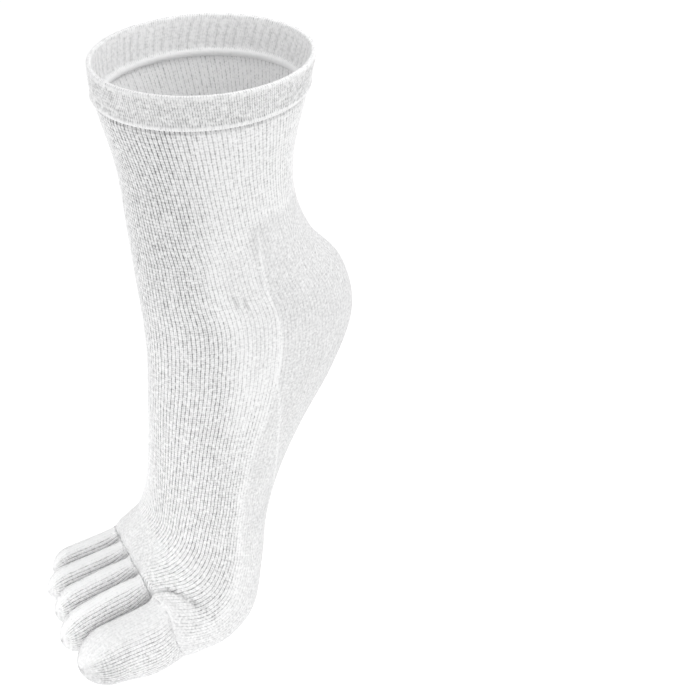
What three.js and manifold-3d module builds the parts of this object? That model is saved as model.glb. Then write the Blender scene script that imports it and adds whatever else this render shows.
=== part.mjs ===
// A knitted toe sock for the right foot, in the form that a foot standing on tiptoe gives it.
// Millimetres, +Z up, toes towards -Y, big toe on the +X side.
// The origin is the middle of the leg opening, so the sock hangs below it.

import * as THREE from "three";
import Module from "manifold-3d";

// Knit
const WALL = 1.2;
const SEAM_GAP = 0.3;

// Leg, from the foot of the cuff down to the heel
const LEG_DEPTH = 97;
const LEG_WIDTH = 84;
const LEG_RISE = 131;

// Cuff, a band of knit turned in and doubled
const CUFF_HEIGHT = 16.5;
const CUFF_FLARE_WIDTH = 2.0;
const CUFF_WALL = 2.6;
const CUFF_PROUD = 0.7;
const CUFF_LEDGE = 0.5;

// Foot, with heights measured up from the sole of the forefoot
const HEEL_HEIGHT = 156;
const HEEL_WIDTH = 66;
const FOOT_DEPTH = 112;
const BALL_WIDTH = 99;
const FOREFOOT_HEIGHT = 31;

// Toes: the length is the big toe's, from its root, and the gap is between two roots
const TOE_LENGTH = 58;
const TOE_GAP = 0.8;

// How far the foot piece runs past the forks between the toes
const FORK_DEPTH = 3;

// Mesh fineness
const RING_SIDES = 32;
const HEEL_SIDES = 15;
const TOE_SIDES = 16;
const ROW_STEP = 13;
const TOE_STEP = 10;
const TIP_ROWS = 4;

// Places along the sock, counted in sections from the rim
const CUFF_FOOT = 1;
const LEG_END = 3.6;
const HEEL_END = 8.6;

// The heel piece runs round the back between these shares of the perimeter, from the shin
const HEEL_FROM = 0.25;
const HEEL_TO = 0.75;

// Each section is an oval between a front and a back point in the middle plane.
// y is a share of the depth and z of the height, medial and lateral are half widths as shares
// of the width, and square is the exponent of the oval: 2 is an ellipse, more is boxier.
// Leg: shares of LEG_DEPTH, LEG_RISE above the heel, and LEG_WIDTH.
const LEG_SECTIONS = [
  { frontY: -0.43, frontZ: 0.985, backY: 0.565, backZ: 1.0, medial: 0.5, lateral: 0.5, square: 2 },
  { frontY: -0.342, frontZ: 0.705, backY: 0.512, backZ: 0.748, medial: 0.468, lateral: 0.468, square: 2 },
  { frontY: -0.298, frontZ: 0.46, backY: 0.545, backZ: 0.56, medial: 0.436, lateral: 0.436, square: 2 },
  { frontY: -0.262, frontZ: 0.245, backY: 0.672, backZ: 0.375, medial: 0.412, lateral: 0.412, square: 2 },
];

// Heel and arch: shares of FOOT_DEPTH, of the height scale below, and of HEEL_WIDTH.
// On that scale 0 is the sole, 1 the top of the forefoot and 2 the middle of the heel.
const HEEL_SECTIONS = [
  { frontY: -0.2, frontZ: 2.075, backY: 0.75, backZ: 2.225, medial: 0.51, lateral: 0.51, square: 2.05 },
  { frontY: -0.186, frontZ: 1.913, backY: 0.815, backZ: 2.013, medial: 0.495, lateral: 0.495, square: 2.1 },
  { frontY: -0.184, frontZ: 1.75, backY: 0.728, backZ: 1.788, medial: 0.473, lateral: 0.495, square: 2.1 },
  { frontY: -0.176, frontZ: 1.586, backY: 0.562, backZ: 1.561, medial: 0.458, lateral: 0.51, square: 2.1 },
  { frontY: -0.17, frontZ: 1.432, backY: 0.434, backZ: 1.363, medial: 0.473, lateral: 0.543, square: 2.1 },
];

// Forefoot: the same shares, with BALL_WIDTH for the width. Slant carries the big toe's side
// forward, as a share of half the width, and taper makes that side the thicker one.
const FOREFOOT_SECTIONS = [
  { frontY: -0.168, frontZ: 1.298, backY: 0.352, backZ: 1.17, medial: 0.345, lateral: 0.398,
    square: 2.1, slant: 0, taper: 0.02 },
  { frontY: -0.172, frontZ: 1.195, backY: 0.3, backZ: 0.906, medial: 0.405, lateral: 0.435,
    square: 2.2, slant: 0.02, taper: 0.03 },
  { frontY: -0.19, frontZ: 1.126, backY: 0.225, backZ: 0.151, medial: 0.48, lateral: 0.47,
    square: 2.3, slant: 0.05, taper: 0.05 },
  { frontY: -0.228, frontZ: 1.07, backY: 0.06, backZ: -0.111, medial: 0.53, lateral: 0.49,
    square: 2.4, slant: 0.1, taper: 0.06 },
  { frontY: -0.28, frontZ: 1.029, backY: -0.12, backZ: -0.091, medial: 0.53, lateral: 0.49,
    square: 2.4, slant: 0.16, taper: 0.08 },
  { frontY: -0.325, frontZ: 0.997, backY: -0.245, backZ: -0.02, medial: 0.505, lateral: 0.48,
    square: 2.5, slant: 0.2, taper: 0.1 },
];

// Toes, from the big toe outwards. width is a share of the row of toes, length of TOE_LENGTH and
// rootY of FOOT_DEPTH, splay is in degrees, and the rest are shares of FOREFOOT_HEIGHT: lift of
// the underside, height at the tip, rise of the top at the root, arch of the top at the middle
// and depth of the pad below.
const TOE_TABLE = [
  { name: "big", width: 0.309, length: 1, rootY: -0.223, splay: 1.5,
    lift: 0, height: 0.79, rise: 0.263, arch: 0.031, pad: 0.22 },
  { name: "second", width: 0.188, length: 0.91, rootY: -0.249, splay: 0.3,
    lift: 0.031, height: 0.619, rise: 0.263, arch: 0.155, pad: 0.031 },
  { name: "third", width: 0.176, length: 0.85, rootY: -0.223, splay: -1.5,
    lift: 0.062, height: 0.588, rise: 0.24, arch: 0.093, pad: 0.031 },
  { name: "fourth", width: 0.167, length: 0.87, rootY: -0.171, splay: -3,
    lift: 0.062, height: 0.557, rise: 0.217, arch: 0.046, pad: 0.031 },
  { name: "little", width: 0.16, length: 0.8, rootY: -0.109, splay: -4.5,
    lift: 0.015, height: 0.526, rise: 0.232, arch: 0.039, pad: 0.031 },
];
const TOE_SQUARE = 2.2;
const TOE_BURIED = 0.24;      // length behind the root that runs on inside the forefoot
const TOE_BURIED_END = 0.55;  // size of its far end
const TIP_LENGTH = 0.62;      // rounded tip, as a share of the toe's width
const TIP_POWER = 2.2;
const TIP_DROOP = 0.06;
const WAIST = 0.05;           // how much the toe narrows behind the tip
const WAIST_END = 0.75;       // share of the length where the narrowing ends
const RISE_POWER = 1.6;
const ARCH_POWER = 0.8;
const PAD_MIDDLE = 0.35;
const PAD_SPREAD = 0.3;

// Profile of the cuff's wall, from its lower outer edge over the rim and down inside.
// proud, wall and ledge are shares of the three cuff sizes and up is a share of its height.
const CUFF_PROFILE = [
  { proud: 0.5, wall: 0, ledge: 0, up: 0 },
  { proud: 1, wall: 0, ledge: 0, up: 0.06 },
  { proud: 1, wall: 0, ledge: 0, up: 0.9 },
  { proud: 1, wall: 0.16, ledge: 0, up: 0.98 },
  { proud: 1, wall: 0.5, ledge: 0, up: 1 },
  { proud: 1, wall: 0.84, ledge: 0, up: 0.98 },
  { proud: 1, wall: 1, ledge: 0, up: 0.9 },
  { proud: 1, wall: 1, ledge: 0, up: 0.24 },
  { proud: 1, wall: 1, ledge: 1, up: 0.18 },
  { proud: 1, wall: 1, ledge: 1, up: 0.05 },
  { proud: 1, wall: 0.9, ledge: 0, up: 0 },
];

// Sections at their real size

const SECTION_KEYS = [
  "frontY", "frontZ", "backY", "backZ", "medial", "lateral", "square", "slant", "taper",
];

function footHeight(share) {
  const above = HEEL_HEIGHT - FOREFOOT_HEIGHT;
  return share < 1 ? share * FOREFOOT_HEIGHT : FOREFOOT_HEIGHT + (share - 1) * above;
}

function legHeight(share) {
  return HEEL_HEIGHT + share * LEG_RISE;
}

function realSection(row, depth, width, height) {
  return {
    frontY: row.frontY * depth,
    frontZ: height(row.frontZ),
    backY: row.backY * depth,
    backZ: height(row.backZ),
    medial: row.medial * width,
    lateral: row.lateral * width,
    square: row.square,
    slant: (row.slant ?? 0) * width / 2,
    taper: row.taper ?? 0,
  };
}

// The rim stands square on the first leg section, a cuff's height above it
function rimSection(first) {
  const across = frame(first).across;
  return {
    ...first,
    frontY: first.frontY + across.y * CUFF_FLARE_WIDTH - across.z * CUFF_HEIGHT,
    frontZ: first.frontZ + across.z * CUFF_FLARE_WIDTH - across.y * CUFF_HEIGHT,
    backY: first.backY - across.y * CUFF_FLARE_WIDTH - across.z * CUFF_HEIGHT,
    backZ: first.backZ - across.z * CUFF_FLARE_WIDTH - across.y * CUFF_HEIGHT,
    medial: first.medial + CUFF_FLARE_WIDTH,
    lateral: first.lateral + CUFF_FLARE_WIDTH,
  };
}

// Axes of a section: across runs from back to front, along runs down the sock to the toes
function frame(section) {
  const front = new THREE.Vector3(0, section.frontY, section.frontZ);
  const back = new THREE.Vector3(0, section.backY, section.backZ);
  const across = front.clone().sub(back);
  const half = across.length() / 2;
  across.normalize();
  return {
    middle: front.add(back).multiplyScalar(0.5),
    half,
    across,
    along: new THREE.Vector3(0, -across.z, across.y),
  };
}

const legSections = LEG_SECTIONS.map((row) => realSection(row, LEG_DEPTH, LEG_WIDTH, legHeight));
const SECTIONS = [
  rimSection(legSections[0]),
  ...legSections,
  ...HEEL_SECTIONS.map((row) => realSection(row, FOOT_DEPTH, HEEL_WIDTH, footHeight)),
  ...FOREFOOT_SECTIONS.map((row) => realSection(row, FOOT_DEPTH, BALL_WIDTH, footHeight)),
];
const FORK = SECTIONS.length - 1;

// A smooth section at any place between the rim, 0, and the forks of the toes, FORK
function sectionAt(place) {
  const index = Math.min(Math.max(Math.floor(place), 0), FORK - 1);
  const u = place - index;
  const before = SECTIONS[Math.max(index - 1, 0)];
  const from = SECTIONS[index];
  const to = SECTIONS[index + 1];
  const after = SECTIONS[Math.min(index + 2, FORK)];
  const result = {};
  for (const key of SECTION_KEYS) {
    const slopeFrom = index > 0 ? (to[key] - before[key]) / 2 : to[key] - from[key];
    const slopeTo = index + 2 <= FORK ? (after[key] - from[key]) / 2 : to[key] - from[key];
    result[key] = from[key] * (2 * u ** 3 - 3 * u ** 2 + 1) + slopeFrom * (u ** 3 - 2 * u ** 2 + u)
      + to[key] * (3 * u ** 2 - 2 * u ** 3) + slopeTo * (u ** 3 - u ** 2);
  }
  return result;
}

const signedPower = (value, power) => Math.sign(value) * Math.abs(value) ** power;

// Points of a section at the given shares of its perimeter, from the shin towards the big toe's side
function sectionPoints(section, shares) {
  const FINE = 360;
  const { middle, half, across, along } = frame(section);
  const widest = Math.max(section.medial, section.lateral);
  const flat = [];
  for (let i = 0; i <= FINE; i += 1) {
    const angle = (i / FINE) * 2 * Math.PI;
    const sine = Math.sin(angle);
    const width = sine > 0 ? section.medial : section.lateral;
    const x = signedPower(sine, 2 / section.square) * width;
    const y = signedPower(Math.cos(angle), 2 / section.square) * half;
    flat.push([x, y * (1 + section.taper * x / widest)]);
  }
  const lengths = [0];
  for (let i = 1; i <= FINE; i += 1) {
    lengths.push(lengths[i - 1] + Math.hypot(flat[i][0] - flat[i - 1][0], flat[i][1] - flat[i - 1][1]));
  }
  return shares.map((share) => {
    const goal = share * lengths[FINE];
    let i = 1;
    while (i < FINE && lengths[i] < goal) i += 1;
    const mix = (goal - lengths[i - 1]) / (lengths[i] - lengths[i - 1]);
    const x = THREE.MathUtils.lerp(flat[i - 1][0], flat[i][0], mix);
    const y = THREE.MathUtils.lerp(flat[i - 1][1], flat[i][1], mix);
    const side = x / widest;
    // the taper is taken up on top, so that the sole stays level
    return middle.clone()
      .add(new THREE.Vector3(x, 0, 0))
      .addScaledVector(across, y + section.taper * half * side)
      .addScaledVector(along, section.slant * side);
  });
}

const roundShares = (sides) => Array.from({ length: sides }, (_, i) => i / sides);

function spacing(place) {
  const step = 0.01;
  const here = sectionAt(Math.min(place, FORK - step));
  const next = sectionAt(Math.min(place, FORK - step) + step);
  const front = Math.hypot(next.frontY - here.frontY, next.frontZ - here.frontZ);
  const back = Math.hypot(next.backY - here.backY, next.backZ - here.backZ);
  return Math.min(front, back) / step;
}

const placeAfter = (place, distance) => place + distance / spacing(place);

// Places from one to another in about equal steps of length
function placesBetween(from, to, step) {
  const FINE = 200;
  const lengths = [0];
  for (let i = 1; i <= FINE; i += 1) {
    const before = frame(sectionAt(THREE.MathUtils.lerp(from, to, (i - 1) / FINE))).middle;
    const after = frame(sectionAt(THREE.MathUtils.lerp(from, to, i / FINE))).middle;
    lengths.push(lengths[i - 1] + before.distanceTo(after));
  }
  const count = Math.max(2, Math.round(lengths[FINE] / step));
  const places = [];
  for (let row = 0; row <= count; row += 1) {
    const goal = (row / count) * lengths[FINE];
    const i = lengths.findIndex((length) => length >= goal - 1e-9);
    places.push(THREE.MathUtils.lerp(from, to, i / FINE));
  }
  return places;
}

const loft = (places, shares) => places.map((place) => sectionPoints(sectionAt(place), shares));

// Grids of points: rows run down the sock, columns run round it

const cell = (grid, row, column) => grid[row][(column + grid[row].length) % grid[row].length];

// Moves every point along the surface's normal, outwards where the distance is positive
function offset(grid, distance, round = true) {
  const last = grid.length - 1;
  return grid.map((row, i) => row.map((point, j) => {
    const down = grid[Math.min(i + 1, last)][j].clone().sub(grid[Math.max(i - 1, 0)][j]);
    const right = round ? cell(grid, i, j + 1) : row[Math.min(j + 1, row.length - 1)];
    const left = round ? cell(grid, i, j - 1) : row[Math.max(j - 1, 0)];
    const normal = down.cross(right.clone().sub(left)).normalize();
    return point.clone().addScaledVector(normal, distance);
  }));
}

// Triangles of a surface being put together
class Skin {
  constructor() {
    this.points = [];
    this.triangles = [];
  }

  add(row) {
    const first = this.points.length;
    this.points.push(...row);
    return row.map((_, i) => first + i);
  }

  face(a, b, c) {
    this.triangles.push([a, b, c]);
  }

  // A band between two rows of equal length, facing right when walking from one to the other
  band(from, to, round = true) {
    const count = round ? from.length : from.length - 1;
    for (let i = 0; i < count; i += 1) {
      const j = (i + 1) % from.length;
      this.face(from[i], to[i], to[j]);
      this.face(from[i], to[j], from[j]);
    }
  }

  fan(row, centre, flip) {
    const tip = this.add([centre])[0];
    row.forEach((point, i) => {
      const next = row[(i + 1) % row.length];
      if (flip) this.face(tip, next, point);
      else this.face(tip, point, next);
    });
  }

  geometry() {
    const geometry = new THREE.BufferGeometry();
    geometry.setAttribute("position", new THREE.Float32BufferAttribute(
      this.points.flatMap((point) => point.toArray()), 3));
    geometry.setIndex(this.triangles.flat());
    geometry.computeVertexNormals();
    return geometry;
  }
}

const average = (row) => row.reduce((sum, point) => sum.add(point), new THREE.Vector3())
  .divideScalar(row.length);

// A closed tube with a wall between an outer and an inner grid
function tubeSkin(outer, inner) {
  const skin = new Skin();
  const outside = outer.map((row) => skin.add(row));
  const inside = inner.map((row) => skin.add(row));
  const last = outer.length - 1;
  for (let i = 0; i < last; i += 1) {
    skin.band(outside[i], outside[i + 1]);
    skin.band(inside[i + 1], inside[i]);
  }
  skin.band(outside[last], inside[last]);
  skin.band(inside[0], outside[0]);
  return skin;
}

// A solid plug with both ends closed; tip, where given, is the point that closes the last row
function plugSkin(grid, tip) {
  const skin = new Skin();
  const rows = grid.map((row) => skin.add(row));
  for (let i = 0; i + 1 < rows.length; i += 1) skin.band(rows[i], rows[i + 1]);
  skin.fan(rows[0], average(grid[0]), false);
  skin.fan(rows[rows.length - 1], tip ?? average(grid[grid.length - 1]), true);
  return skin;
}

// A closed patch between an outer and an inner grid that stop short of meeting round the back
function patchSkin(outer, inner) {
  const skin = new Skin();
  const outside = outer.map((row) => skin.add(row));
  const inside = inner.map((row) => skin.add(row));
  const last = outer.length - 1;
  for (let i = 0; i < last; i += 1) {
    skin.band(outside[i], outside[i + 1], false);
    skin.band(inside[i + 1], inside[i], false);
  }
  skin.band(outside[last], inside[last], false);
  skin.band(inside[0], outside[0], false);
  const edge = (rows, column) => rows.map((row) => row.at(column));
  skin.band(edge(outside, 0), edge(inside, 0), false);
  skin.band(edge(inside, -1), edge(outside, -1), false);
  return skin;
}

// Boolean joins and cuts

const wasm = await Module();
wasm.setup();

function solidOf(skin) {
  return new wasm.Manifold(new wasm.Mesh({
    numProp: 3,
    vertProperties: new Float32Array(skin.points.flatMap((point) => point.toArray())),
    triVerts: new Uint32Array(skin.triangles.flat()),
  }));
}

function geometryOf(solid) {
  const mesh = solid.getMesh();
  const geometry = new THREE.BufferGeometry();
  geometry.setAttribute("position", new THREE.BufferAttribute(mesh.vertProperties, 3));
  geometry.setIndex(new THREE.BufferAttribute(mesh.triVerts, 1));
  geometry.computeVertexNormals();
  return geometry;
}

// Cuff

function cuffSkin() {
  const outer = CUFF_PROFILE.map(({ proud, wall, ledge, up }) => {
    const out = proud * CUFF_PROUD - wall * CUFF_WALL - ledge * CUFF_LEDGE;
    const section = sectionAt(CUFF_FOOT - up * CUFF_FOOT);
    const { across } = frame(section);
    return sectionPoints({
      ...section,
      frontY: section.frontY + across.y * out,
      frontZ: section.frontZ + across.z * out,
      backY: section.backY - across.y * out,
      backZ: section.backZ - across.z * out,
      medial: section.medial + out,
      lateral: section.lateral + out,
    }, roundShares(RING_SIDES));
  });
  const skin = new Skin();
  const rows = outer.map((row) => skin.add(row));
  rows.forEach((row, i) => skin.band(rows[(i + 1) % rows.length], row));
  return skin;
}

// Leg

function legSkin() {
  const from = placeAfter(CUFF_FOOT, SEAM_GAP);
  const outer = loft(placesBetween(from, LEG_END, ROW_STEP), roundShares(RING_SIDES));
  return tubeSkin(outer, offset(outer, -WALL));
}

// Heel: the back half of the sock from the ankle to the arch

const heelTop = placeAfter(LEG_END, SEAM_GAP);
const heelPlaces = placesBetween(heelTop, HEEL_END, ROW_STEP);

function heelShares(margin) {
  const from = HEEL_FROM - margin;
  const to = HEEL_TO + margin;
  return Array.from({ length: HEEL_SIDES + 1 }, (_, i) => (
    THREE.MathUtils.lerp(from, to, i / HEEL_SIDES)));
}

function heelSkin() {
  const outer = loft(heelPlaces, heelShares(0));
  return patchSkin(outer, offset(outer, -WALL, false));
}

// What the heel takes out of the foot: the same patch, wider by the seam gap and deeper than the wall
function heelCutterSkin() {
  const OUTWARD = 2 * WALL;
  const INWARD = 3 * WALL;
  const ring = sectionPoints(sectionAt(LEG_END), roundShares(RING_SIDES));
  const perimeter = ring.reduce((sum, point, i) => sum + point.distanceTo(ring[(i + 1) % ring.length]), 0);
  const above = placeAfter(LEG_END, -INWARD);
  const below = placeAfter(HEEL_END, SEAM_GAP);
  const middle = loft([above, ...heelPlaces, below], heelShares(SEAM_GAP / perimeter));
  return patchSkin(offset(middle, OUTWARD, false), offset(middle, -INWARD, false));
}

// Toes

const toeRow = BALL_WIDTH - TOE_GAP * (TOE_TABLE.length - 1);
const toes = [];
let toeEdge = BALL_WIDTH / 2;
for (const row of TOE_TABLE) {
  const width = row.width * toeRow;
  const angle = THREE.MathUtils.degToRad(row.splay);
  toes.push({
    name: row.name,
    width,
    length: row.length * TOE_LENGTH,
    root: new THREE.Vector3(toeEdge - width / 2, row.rootY * FOOT_DEPTH, 0),
    forward: new THREE.Vector3(Math.sin(angle), -Math.cos(angle), 0),
    side: new THREE.Vector3(Math.cos(angle), Math.sin(angle), 0),
    lift: row.lift * FOREFOOT_HEIGHT,
    height: row.height * FOREFOOT_HEIGHT,
    rise: row.rise * FOREFOOT_HEIGHT,
    arch: row.arch * FOREFOOT_HEIGHT,
    pad: row.pad * FOREFOOT_HEIGHT,
  });
  toeEdge -= width + TOE_GAP;
}

// One ring of a toe, a distance along it from the root
function toeRing(toe, distance) {
  const share = THREE.MathUtils.clamp(distance / toe.length, 0, 1);
  const tip = TIP_LENGTH * toe.width;
  const intoTip = Math.max(0, (distance - toe.length + tip) / tip);
  const buried = Math.max(0, -distance / (TOE_BURIED * TOE_LENGTH));
  const size = Math.sqrt(1 - intoTip ** TIP_POWER) * (1 - (1 - TOE_BURIED_END) * buried);
  const top = toe.lift + toe.height + toe.rise * (1 - share) ** RISE_POWER
    + toe.arch * Math.sin(Math.PI * share ** ARCH_POWER);
  const bottom = toe.lift - toe.pad * Math.exp(-(((share - PAD_MIDDLE) / PAD_SPREAD) ** 2));
  const waist = WAIST * Math.sin(Math.PI * Math.min(share / WAIST_END, 1));
  const halfWidth = toe.width / 2 * size * (1 - waist);
  const halfHeight = (top - bottom) / 2 * size;
  const middle = (top + bottom) / 2 - toe.height * TIP_DROOP * intoTip;
  return roundShares(TOE_SIDES).map((turn) => {
    const across = signedPower(Math.sin(turn * 2 * Math.PI), 2 / TOE_SQUARE) * halfWidth;
    const up = signedPower(Math.cos(turn * 2 * Math.PI), 2 / TOE_SQUARE) * halfHeight;
    const point = toe.root.clone().addScaledVector(toe.forward, distance).addScaledVector(toe.side, across);
    point.z = middle + up;
    return point;
  });
}

function toeGrid(toe) {
  const tip = TIP_LENGTH * toe.width;
  const start = -TOE_BURIED * TOE_LENGTH;
  const straight = toe.length - tip;
  const count = Math.round((straight - start) / TOE_STEP);
  const distances = [];
  for (let i = 0; i <= count; i += 1) distances.push(THREE.MathUtils.lerp(start, straight, i / count));
  for (let i = 1; i < TIP_ROWS; i += 1) {
    distances.push(straight + tip * Math.sin((i / TIP_ROWS) * Math.PI / 2));
  }
  return distances.map((distance) => toeRing(toe, distance));
}

function toeTip(toe, inset) {
  const end = average(toeRing(toe, toe.length));
  return end.addScaledVector(toe.forward, -inset);
}

const toeOuter = (toe) => solidOf(plugSkin(toeGrid(toe), toeTip(toe, 0)));
const toeInner = (toe) => solidOf(plugSkin(offset(toeGrid(toe), -WALL), toeTip(toe, WALL)));

// Everything more than a distance in front of the forks, as a block
function aheadOfForks(distance) {
  const section = sectionAt(FORK);
  const { middle, across, along } = frame(section);
  const slope = section.slant / Math.max(section.medial, section.lateral);
  const sideways = new THREE.Vector3(1, 0, 0).addScaledVector(along, slope);
  // far enough each way to hold the whole row of toes
  const reach = { side: BALL_WIDTH, up: 2 * FOREFOOT_HEIGHT, ahead: 2 * TOE_LENGTH };
  const skin = new Skin();
  const rows = [0, reach.ahead].map((ahead) => skin.add(
    [[-1, 1], [1, 1], [1, -1], [-1, -1]].map(([x, y]) => middle.clone()
      .addScaledVector(along, distance + ahead)
      .addScaledVector(sideways, x * reach.side)
      .addScaledVector(across, y * reach.up)),
  ));
  skin.band(rows[0], rows[1]);
  skin.fan(rows[0], average(rows[0].map((i) => skin.points[i])), false);
  skin.fan(rows[1], average(rows[1].map((i) => skin.points[i])), true);
  return solidOf(skin);
}

function toeSolid(toe) {
  return toeOuter(toe).subtract(toeInner(toe)).intersect(aheadOfForks(FORK_DEPTH + SEAM_GAP));
}

// Foot: instep, sole and the webs between the toes

function footSolid() {
  const PAST_EDGE = 0.5;
  const places = placesBetween(heelTop, FORK, ROW_STEP);
  const outer = loft(places, roundShares(RING_SIDES));
  const inner = offset(outer, -WALL);
  // the hollow runs half a row past the top edge, and stops a wall short of the forks
  const last = inner.length - 1;
  const { along } = frame(sectionAt(FORK));
  inner[0] = inner[0].map((point, i) => point.clone().lerp(inner[1][i], -PAST_EDGE));
  inner[last] = inner[last].map((point) => point.clone().addScaledVector(along, -WALL));
  let solid = solidOf(plugSkin(outer));
  let hollow = solidOf(plugSkin(inner));
  for (const toe of toes) {
    solid = solid.add(toeOuter(toe));
    hollow = hollow.add(toeInner(toe));
  }
  return solid.subtract(hollow)
    .subtract(solidOf(heelCutterSkin()))
    .subtract(aheadOfForks(FORK_DEPTH));
}

// Materials

function knit(name, color, roughness) {
  const material = new THREE.MeshStandardMaterial({ color, roughness, metalness: 0 });
  material.name = name;
  return material;
}

const ribKnit = knit("rib_knit", 0xf1f1f2, 0.95);
const plainKnit = knit("plain_knit", 0xf3f3f4, 0.92);

// The sock

const group = new THREE.Group();

function addPiece(name, geometry, material) {
  const mesh = new THREE.Mesh(geometry, material.clone());
  mesh.name = name;
  group.add(mesh);
}

addPiece("cuff", cuffSkin().geometry(), ribKnit);
addPiece("leg", legSkin().geometry(), ribKnit);
addPiece("heel", heelSkin().geometry(), plainKnit);
addPiece("foot", geometryOf(footSolid()), ribKnit);
for (const toe of toes) addPiece(`toe_${toe.name}`, geometryOf(toeSolid(toe)), plainKnit);

// The middle of the leg opening comes to the origin
group.position.copy(frame(SECTIONS[0]).middle).negate();

export default group;
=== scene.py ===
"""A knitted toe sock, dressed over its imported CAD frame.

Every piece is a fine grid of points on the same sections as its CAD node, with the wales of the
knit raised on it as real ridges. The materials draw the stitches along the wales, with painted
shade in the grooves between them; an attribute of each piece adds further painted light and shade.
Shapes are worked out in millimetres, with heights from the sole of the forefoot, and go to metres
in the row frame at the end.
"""
import math

import bpy
import numpy as np
from mathutils import Matrix, Vector


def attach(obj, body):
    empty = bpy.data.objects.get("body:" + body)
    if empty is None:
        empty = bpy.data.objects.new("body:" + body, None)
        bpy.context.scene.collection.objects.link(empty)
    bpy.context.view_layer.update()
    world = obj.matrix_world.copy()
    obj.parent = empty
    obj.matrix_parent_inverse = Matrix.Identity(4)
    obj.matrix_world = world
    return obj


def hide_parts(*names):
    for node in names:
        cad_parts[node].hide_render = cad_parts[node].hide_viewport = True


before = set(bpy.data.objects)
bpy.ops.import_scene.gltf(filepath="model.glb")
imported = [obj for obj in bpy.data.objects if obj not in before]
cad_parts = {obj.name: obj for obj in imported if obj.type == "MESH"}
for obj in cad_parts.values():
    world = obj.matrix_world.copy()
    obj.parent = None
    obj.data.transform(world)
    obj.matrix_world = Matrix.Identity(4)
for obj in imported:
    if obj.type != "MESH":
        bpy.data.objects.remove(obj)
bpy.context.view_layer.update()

MILLIMETRE = 0.001
TINY = 1e-9            # keeps a division from meeting zero
SMALL = 1e-6

# Sizes, as in the CAD model
WALL = 1.2
LEG_DEPTH = 97
LEG_WIDTH = 84
LEG_RISE = 131
CUFF_HEIGHT = 16.5
CUFF_FLARE_WIDTH = 2.0
CUFF_WALL = 2.6
CUFF_PROUD = 0.7
CUFF_LEDGE = 0.9
HEEL_HEIGHT = 156
HEEL_WIDTH = 66
FOOT_DEPTH = 112
BALL_WIDTH = 99
FOREFOOT_HEIGHT = 31
TOE_LENGTH = 58
TOE_GAP = 0.8
LEG_END = 3.6
HEEL_END = 8.6
HEEL_FROM = 0.25
HEEL_TO = 0.75

# Sections, as in the CAD model: front y and z, back y and z, medial and lateral half widths,
# exponent of the oval, slant and taper
LEG_SECTIONS = [
    (-0.43, 0.985, 0.565, 1.0, 0.5, 0.5, 2, 0, 0),
    (-0.342, 0.705, 0.512, 0.748, 0.468, 0.468, 2, 0, 0),
    (-0.298, 0.46, 0.545, 0.56, 0.436, 0.436, 2, 0, 0),
    (-0.262, 0.245, 0.672, 0.375, 0.412, 0.412, 2, 0, 0),
]
HEEL_SECTIONS = [
    (-0.2, 2.075, 0.75, 2.225, 0.51, 0.51, 2.05, 0, 0),
    (-0.186, 1.913, 0.815, 2.013, 0.495, 0.495, 2.1, 0, 0),
    (-0.184, 1.75, 0.728, 1.788, 0.473, 0.495, 2.1, 0, 0),
    (-0.176, 1.586, 0.562, 1.561, 0.458, 0.51, 2.1, 0, 0),
    (-0.17, 1.432, 0.434, 1.363, 0.473, 0.543, 2.1, 0, 0),
]
FOREFOOT_SECTIONS = [
    (-0.168, 1.298, 0.352, 1.17, 0.345, 0.398, 2.1, 0, 0.02),
    (-0.172, 1.195, 0.3, 0.906, 0.405, 0.435, 2.2, 0.02, 0.03),
    (-0.19, 1.126, 0.225, 0.151, 0.48, 0.47, 2.3, 0.05, 0.05),
    (-0.228, 1.07, 0.06, -0.111, 0.53, 0.49, 2.4, 0.1, 0.06),
    (-0.28, 1.029, -0.12, -0.091, 0.53, 0.49, 2.4, 0.16, 0.08),
    (-0.325, 0.997, -0.245, -0.02, 0.505, 0.48, 2.5, 0.2, 0.1),
]
FRONT_Y, FRONT_Z, BACK_Y, BACK_Z, MEDIAL, LATERAL, SQUARE, SLANT, TAPER = range(9)

# Toes, as in the CAD model: name, width, length, root y, splay, lift, height, rise, arch, pad
TOE_TABLE = [
    ("big", 0.309, 1, -0.223, 1.5, 0, 0.79, 0.263, 0.031, 0.22),
    ("second", 0.188, 0.91, -0.249, 0.3, 0.031, 0.619, 0.263, 0.155, 0.031),
    ("third", 0.176, 0.85, -0.223, -1.5, 0.062, 0.588, 0.24, 0.093, 0.031),
    ("fourth", 0.167, 0.87, -0.171, -3, 0.062, 0.557, 0.217, 0.046, 0.031),
    ("little", 0.16, 0.8, -0.109, -4.5, 0.015, 0.526, 0.232, 0.039, 0.031),
]
TOE_SQUARE = 2.2
TOE_BURIED = 0.24
TOE_BURIED_END = 0.55
TIP_LENGTH = 0.62
TIP_POWER = 2.2
TIP_DROOP = 0.06
WAIST = 0.05
WAIST_END = 0.75
RISE_POWER = 1.6
ARCH_POWER = 0.8
PAD_MIDDLE = 0.35
PAD_SPREAD = 0.3

# Knit
WALES = 132            # round the leg
PER_WALE = 6           # grid columns to a wale
TOE_WALE = 1.95        # width of a wale on the toes
COURSE = 1.45          # height of a course
RIDGE_POWER = 0.7      # under 1 for rounded tops and sharp grooves

# Rows of the tube's grid: how far apart, and where they are finer, by place
ROW_STEP = 2.2
FIRST_ROW = 0.85
CUFF_ROWS_TO = 1.2
CUFF_ROW_STEP = 0.8
SEAM_ROWS_FROM = 13.2
SEAM_ROW_STEP = 0.9
FINE_PLACES = 400
OUTLINE_POINTS = 1441
TOE_OUTLINE_POINTS = 721

# How the wales lean, in wales round the sock, and how much wider they are in front, by place
LEAN_TABLE = [(0.85, 0), (3.3, 4.6), (3.9, 4.5), (6.2, 3.4), (8.5, 2.0), (11, -0.6), (12.7, -4), (14.4, -8.5)]
SPREAD_TABLE = [(4.5, 0), (6, -0.08), (7.4, 0), (9.6, 0.16), (14.4, 0.18)]
CUFF_LEAN = 1.3
INNER_LEAN = 1.9

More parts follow.
